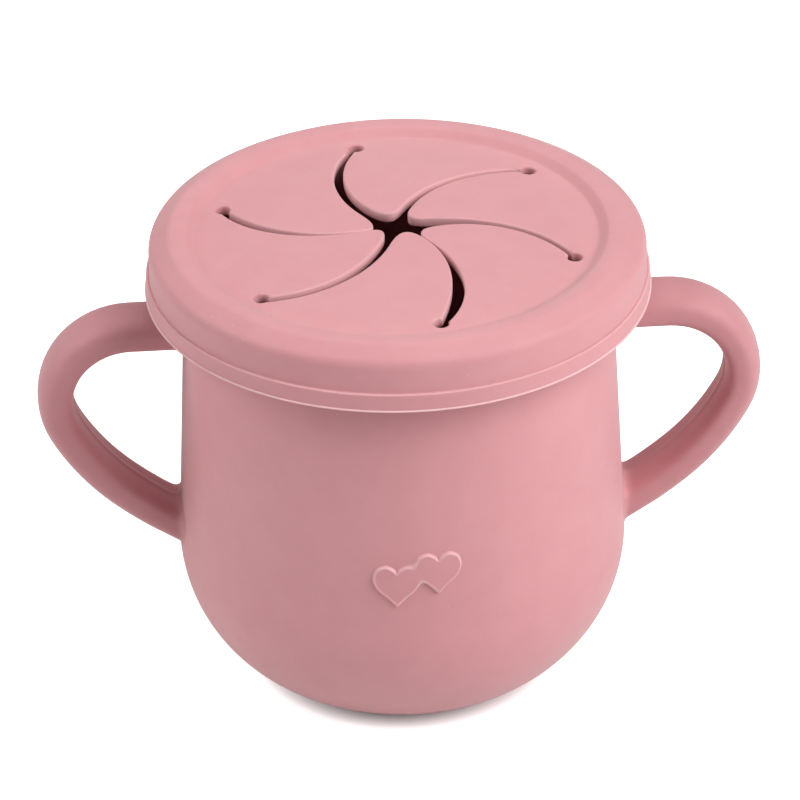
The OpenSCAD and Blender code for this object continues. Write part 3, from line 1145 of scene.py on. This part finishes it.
    def _sort(self, middles: np.ndarray) -> np.ndarray:
        """Names the region of each middle point: petal number, RING or SLIT.

        Args:
            middles: places in the plan.

        Returns:
            A label for each place.
        """
        n = len(self.slits)
        inside = np.ones(len(middles), bool)
        for slit in self.slits:
            inside &= middles @ unit(slit.hole_deg - 180 / n) < self.chord_r
        label = np.where(inside, SLIT, RING)
        places = [slit.locate(middles) for slit in self.slits]
        for k, slit in enumerate(self.slits):
            t, off = places[k]
            next_t, next_off = places[(k + 1) % n]
            turn = np.degrees(np.arctan2(middles[:, 1], middles[:, 0])) - slit.hole_deg
            turn = (turn + 180) % 360 - 180
            tip = self.tip_lines[k]
            normal = left_of(tip[-1] - tip[0])
            side = (middles - tip[0]) @ normal * ((tip[len(tip) // 2] - tip[0]) @ normal)
            mine = inside & (off < slit.inner(np.clip(t, 0, 1)))
            mine &= next_off > self.slits[(k + 1) % n].outer(np.clip(next_t, 0, 1))
            mine &= (turn > self.petal_turn[0]) & (turn < self.petal_turn[1])
            mine &= (side < 0) | inside_polygon(middles, tip)
            label[mine] = k
        for k, slit in enumerate(self.slits):
            t, off = places[k]
            band = (off > slit.inner(t)) & (off < slit.outer(t)) & (t > 0.5) & (t < 1.01)
            hole = np.hypot(*(middles - slit.hole).T) < self.hole_r
            label[band | hole] = SLIT
        return label

    def sheet(self, verts: np.ndarray, tris: np.ndarray, free: set[frozenset[int]]) -> Sheet:
        """A moulded sheet over a part of the plan: two faces, and rounded edges where it is free.

        Args:
            verts: points of the plan.
            tris: the part's triangles.
            free: the plan's edges that border a slit or hole.

        Returns:
            Points and faces of the sheet, and each point's share of the painted edge highlight.
        """
        used, local = np.unique(tris, return_inverse=True)
        plan, local, n = verts[used], local.reshape(-1, 3), len(used)
        rim = np.array([(mine[i - 1], mine[i]) for tri, mine in zip(tris, local) for i in range(3)
                        if frozenset((tri[i - 1], tri[i])) in free])
        depth = distance_to(plan, plan[rim[:, 0]], plan[rim[:, 1]])
        e = self.edge_round
        lowered = e - np.sqrt(e**2 - np.clip(e - depth, 0, e) ** 2)
        top = self.surface(plan)
        points = np.concatenate([np.column_stack([plan, top - lowered]),
                                 np.column_stack([plan, top - self.thickness + lowered])])
        walls = np.column_stack([rim[:, 0], rim[:, 0] + n, rim[:, 1] + n, rim[:, 1]])
        # Painted highlight along the slit and hole edges, fading inwards.
        marks = self.slit_highlight * np.exp(-((depth / self.slit_highlight_half) ** 2))
        return points, [*local, *(local[:, ::-1] + n), *walls], np.append(marks, np.zeros(n))

    def build_disc(self) -> tuple[Sheet, list[Sheet]]:
        """The disc's fixed ring and its petals, as points, faces and marks.

        Returns:
            The ring's sheet and the petals' sheets.
        """
        verts, tris, label = self.plan()
        owner: dict[frozenset[int], set[int]] = {}
        for tri, mark in zip(tris, label):
            for i in range(3):
                owner.setdefault(frozenset((tri[i - 1], tri[i])), set()).add(mark)
        free = {edge for edge, marks in owner.items() if SLIT in marks and len(marks) > 1}
        ring, *petals = (self.sheet(verts, tris[label == k], free)
                         for k in range(RING, len(self.slits)))
        return ring, petals

    def root(self, k: int) -> tuple[np.ndarray, np.ndarray]:
        """Petal k's root line: the middle of its bend, and the unit direction into the petal.

        Args:
            k: the petal's number.

        Returns:
            The point and the direction.
        """
        start = self.slits[k].hole
        along = unit(self.slits[k].hole_deg - 90 - 180 / len(self.slits) - self.root_turn)
        inward = left_of(along)
        return start - along * (start @ along), -inward * np.sign(inward @ start)

    def ring_profile(self) -> list[Point]:
        """Section of the raised ring and skirt, from the disc's upper edge to its lower edge.

        Returns:
            Points of radius and height.
        """
        slope = curve_through([(self.disc_r + r, self.disc_z + z) for r, z in self.slope_rise], 4)
        side_r, lid_r, skirt_r, lip_r = self.side_r, self.lid_r, self.skirt_r, self.lip_r
        bevel, shoulder = self.bevel_round, self.shoulder_round
        turn = 90 - self.bevel_slope
        tilt = math.radians(turn)
        centre = (side_r - shoulder, self.crown_z - self.shoulder_drop)
        end_r, end_z = centre + shoulder * unit(turn)
        meet = end_r - (self.crown_z - end_z) * math.tan(tilt)
        ease = bevel * math.tan((math.pi / 2 - tilt) / 2)
        crown = arc((meet - ease, self.crown_z - bevel), bevel, 90, turn, 8)
        outer = arc(centre, shoulder, turn, 0, 12)
        hem_z, crease_z, band_r = self.hem_z, self.hem_z + self.hem_h, lid_r - self.flash
        crease, ledge = self.crease_round, self.ledge_round
        band = [(side_r, crease_z + 1.0),
                *arc((side_r + crease, crease_z + crease), crease, 180, 270, 5),
                *arc((band_r - ledge, crease_z - ledge), ledge, 90, 0, 7)]
        low, corner = hem_z + self.flash_h, 0.06
        flash = [(band_r, low + 0.1), (band_r + 0.03, low + 0.02), (lid_r - corner, low),
                 (lid_r, low - corner), (lid_r, hem_z + corner), (lid_r - corner, hem_z)]
        under = [(skirt_r + 0.5, hem_z), (skirt_r + 0.1, hem_z + 0.15)]
        top = self.lip_top
        lip = curve_through([(skirt_r - 0.4, hem_z + 0.4), (lip_r + 0.15, top - 1.1),
                             (lip_r, top - 0.6), (lip_r + 0.3, top - 0.05)], 3)
        rim_z = self.cup.height
        inside = [(skirt_r - 0.15, top), (skirt_r, top + 0.2), (skirt_r, rim_z - 0.8),
                  (skirt_r - 0.8, rim_z), (self.disc_r + 0.3, rim_z),
                  (self.disc_r, self.disc_z - self.thickness)]
        return resample([*slope, *crown, *outer, *band, *flash, *under, *lip, *inside], 0.9)

    def _mark_ring(self, ring: bpy.types.Object) -> None:
        """Marks the moulding flash and the ledge over the hem band for the painted edge highlight.

        Args:
            ring: the ring's object.
        """
        places = np.array([v.co for v in ring.data.vertices]) / MM
        r, z = np.hypot(places[:, 0], places[:, 1]), places[:, 2]
        band_r, ledge_z = self.lid_r - self.flash, self.hem_z + self.hem_h
        flash = (r > band_r + 0.02) & (z < self.hem_z + self.flash_h + 0.03)
        ledge = (r > band_r - self.ledge_round) & (z > ledge_z - self.ledge_round / 2)
        ledge &= z < ledge_z + 0.01
        # Painted highlight on the flash and the ledge.
        mark_painted_highlight(ring, np.where(flash, self.flash_highlight, np.where(ledge, self.ledge_highlight, 0.0)))

    def build(self, material: bpy.types.Material) -> None:
        """Builds the ring and the petals, gives them the lid's finish, and puts the ring on its
        body.

        Args:
            material: the lid's finish.
        """
        (points, faces, _), petals = self.build_disc()
        verts, sides = revolve(self.ring_profile(), self.segments)
        start = len(points)
        ring = new_object("lid_ring", np.concatenate([points, verts]), [*faces, *(sides + start)])
        weld(ring)
        self._mark_ring(ring)
        dress(ring, material, LID, LID_SLOT, "lid_rim", "lid_snap_lip")
        for k, (points, faces, marks) in enumerate(petals):
            name = f"flap_{k + 1}"
            petal = new_object(f"petal_{k + 1}", points, faces)
            mark_painted_highlight(petal, marks)
            petal.data.materials.append(material)
            middle, inward = self.root(k)
            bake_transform(petal)
            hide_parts(name)
            log.info("%s: %d faces", petal.name, len(petal.data.polygons))


def inside_polygon(points: np.ndarray, polygon: np.ndarray) -> np.ndarray:
    """Whether each point lies inside a closed polygon.

    Args:
        points: places to test.
        polygon: its corners in order.

    Returns:
        True for each point inside.
    """
    x, y = points[:, 0], points[:, 1]
    inside = np.zeros(len(points), bool)
    for (x0, y0), (x1, y1) in zip(polygon, np.roll(polygon, -1, axis=0)):
        crosses = (y0 > y) != (y1 > y)
        at = x0 + (y - y0) * (x1 - x0) / (y1 - y0 if y1 != y0 else 1e-12)
        inside ^= crosses & (x < at)
    return inside


def distance_to(points: np.ndarray, starts: np.ndarray, ends: np.ndarray) -> np.ndarray:
    """Distance from each point to the nearest of a set of line stretches.

    Args:
        points: places to measure from.
        starts: one end of each stretch.
        ends: the other end of each stretch.

    Returns:
        One distance for each point.
    """
    best = np.full(len(points), np.inf)
    for a, b in zip(starts, ends):
        t = np.clip((points - a) @ (b - a) / max((b - a) @ (b - a), 1e-12), 0, 1)
        best = np.minimum(best, np.hypot(*(points - a - t[:, None] * (b - a)).T))
    return best


# ---- Studio -----------------------------------------------------------------------------


@dataclass
class Studio:
    """Camera, lamps, floor and backdrop."""

    target: Point = (0.0, 0.0, 86.75)
    distance: float = 990.3
    elevation: float = 29.44
    yaw: float = 3.57
    roll: float = 0.99
    focal_px: float = 5600.0
    aim_px: tuple[float, float] = (0.16, 167.08)
    image_px: float = 800.0
    sensor: float = 36.0
    clip: tuple[float, float] = (0.05, 10.0)
    lamp_distance: float = 1.6
    lamp_colour: Point = (1.0, 0.99, 0.98)
    lamps: tuple[tuple[str, float, float, float, float], ...] = (
        ("window_lamp", 60.0, 40.0, 1.2, 29.8),
        ("side_lamp", 270.0, 35.0, 1.2, 16.6),
        ("back_lamp", 180.0, 60.0, 0.9, 7.0),
    )
    surround: float = 0.02
    surround_colour: Point = (1.0, 0.985, 0.97, 1.0)
    floor_half: float = 1500.0
    floor_gap: float = 0.05
    floor_colour: Point = (0.82, 0.81, 0.81, 1.0)
    floor_glow: float = 0.72
    # How far the painted contact shadow on the floor reaches, in millimetres.
    contact_shade_reach: float = 2.8

    def build_camera(self) -> None:
        """Places the camera; aim_px is how far the target lies from the picture's middle."""
        camera = bpy.data.cameras.new("studio_camera")
        camera.sensor_width = self.sensor
        camera.lens = self.focal_px / self.image_px * self.sensor
        camera.clip_start, camera.clip_end = self.clip
        obj = bpy.data.objects.new("studio_camera", camera)
        bpy.context.scene.collection.objects.link(obj)
        bpy.context.scene.camera = obj

        def turn(angle: float, axis: str) -> Matrix:
            """A turn in degrees about one axis."""
            return Matrix.Rotation(math.radians(angle), 4, axis)

        across, up = (math.degrees(math.atan2(p, self.focal_px)) for p in self.aim_px)
        obj.matrix_world = (Matrix.Translation(Vector(self.target) * MM)
                            @ turn(-self.yaw, "Z") @ turn(90 - self.elevation, "X")
                            @ Matrix.Translation((0, 0, self.distance * MM))
                            @ turn(across, "Y") @ turn(-up, "X") @ turn(-self.roll, "Z"))

    def lamp(self, name: str, turn: float, tilt: float, size: float, power: float) -> None:
        """A square soft lamp that faces the object.

        Args:
            name: the lamp's name.
            turn: its direction round the object in degrees, 0 in front and 90 on the right.
            tilt: its direction above level in degrees.
            size: its side in metres.
            power: its power in watts.
        """
        light = bpy.data.lights.new(name, "AREA")
        light.size = size
        light.energy = power
        light.color = self.lamp_colour
        obj = bpy.data.objects.new(name, light)
        a, b = math.radians(turn), math.radians(tilt)
        away = Vector((math.sin(a) * math.cos(b), -math.cos(a) * math.cos(b), math.sin(b)))
        obj.location = Vector((0, 0, 0.05)) + away * self.lamp_distance
        obj.rotation_euler = (-away).to_track_quat("-Z", "Y").to_euler()
        bpy.context.scene.collection.objects.link(obj)

    def build_world(self) -> None:
        """An even pale surround that the camera sees as white."""
        world = bpy.data.worlds.new("studio_world")
        bpy.context.scene.world = world
        world.use_nodes = True
        world.node_tree.nodes.clear()
        nodes = Nodes(world.node_tree)
        seen = nodes.add("LightPath", {}).outputs["Is Camera Ray"]
        pale = {"Color": self.surround_colour, "Strength": self.surround}
        surround = nodes.add("Background", pale).outputs[0]
        white = nodes.add("Background", {"Color": WHITE, "Strength": 1.0}).outputs[0]
        mixed = nodes.add("MixShader", {0: seen, 1: surround, 2: white}).outputs[0]
        nodes.add("OutputWorld", {"Surface": mixed})

    def build_floor(self) -> None:
        """A pale floor that keeps the object's soft shadow, darkens its glow by a painted contact
        shadow at the cup's foot, and runs out to white.
        """
        half = self.floor_half
        floor = new_object("studio_floor", [(-half, -half, 0), (half, -half, 0), (half, half, 0),
                                            (-half, half, 0)], [(0, 1, 2, 3)])
        floor.location.z = -self.floor_gap * MM
        material = bpy.data.materials.new("studio_floor_white")
        material.use_nodes = True
        material.node_tree.nodes.clear()
        nodes = Nodes(material.node_tree)
        diffuse = nodes.add("BsdfDiffuse", {"Color": self.floor_colour}).outputs[0]
        seen = nodes.add("LightPath", {}).outputs["Is Camera Ray"]
        # Painted contact shadow: ambient occlusion darkens the floor's white glow close to the cup.
        contact_shade = nodes.add("AmbientOcclusion", {"Distance": self.contact_shade_reach * MM})
        glow = nodes.add("Emission", {"Color": contact_shade.outputs["Color"],
                                      "Strength": nodes.math("MULTIPLY", seen, self.floor_glow)})
        both = nodes.add("AddShader", {0: diffuse, 1: glow.outputs[0]}).outputs[0]
        nodes.add("OutputMaterial", {"Surface": both})
        floor.data.materials.append(material)

    def build(self) -> None:
        """Sets up the view, the light and the floor."""
        bpy.context.scene.view_settings.view_transform = "Standard"
        self.build_camera()
        self.build_world()
        self.build_floor()
        for name, turn, tilt, size, power in self.lamps:
            self.lamp(name, turn, tilt, size, power)
        log.info("studio ready")


# ---- Assembly ---------------------------------------------------------------------------


def main() -> None:
    """Builds the whole object and the studio."""
    effects = EffectLibrary()
    cup_finish = SiliconeFinish("cup_silicone", lint=0.15, parting=0.08).build(effects)
    # The handles' finish is a darker copy of the cup's silicone: painted shade, as the handles sit
    # in the shade of the lid and the cup.
    shaded_handle_finish = SiliconeFinish("handle_silicone_painted_shade", base=(0.60, 0.272, 0.297),
                                   deep=(0.53, 0.212, 0.238), lint=0.15).build(effects)
    lid_finish = SiliconeFinish("lid_silicone", lint=0.2).build(effects)
    cup = CupMoulding()
    cup.build(cup_finish)
    for side in (-1, 1):
        LoopHandle(cup, side).build(shaded_handle_finish)
    SwirlLid(cup).build(lid_finish)
    Studio().build()


if __name__ == "__main__":
    main()
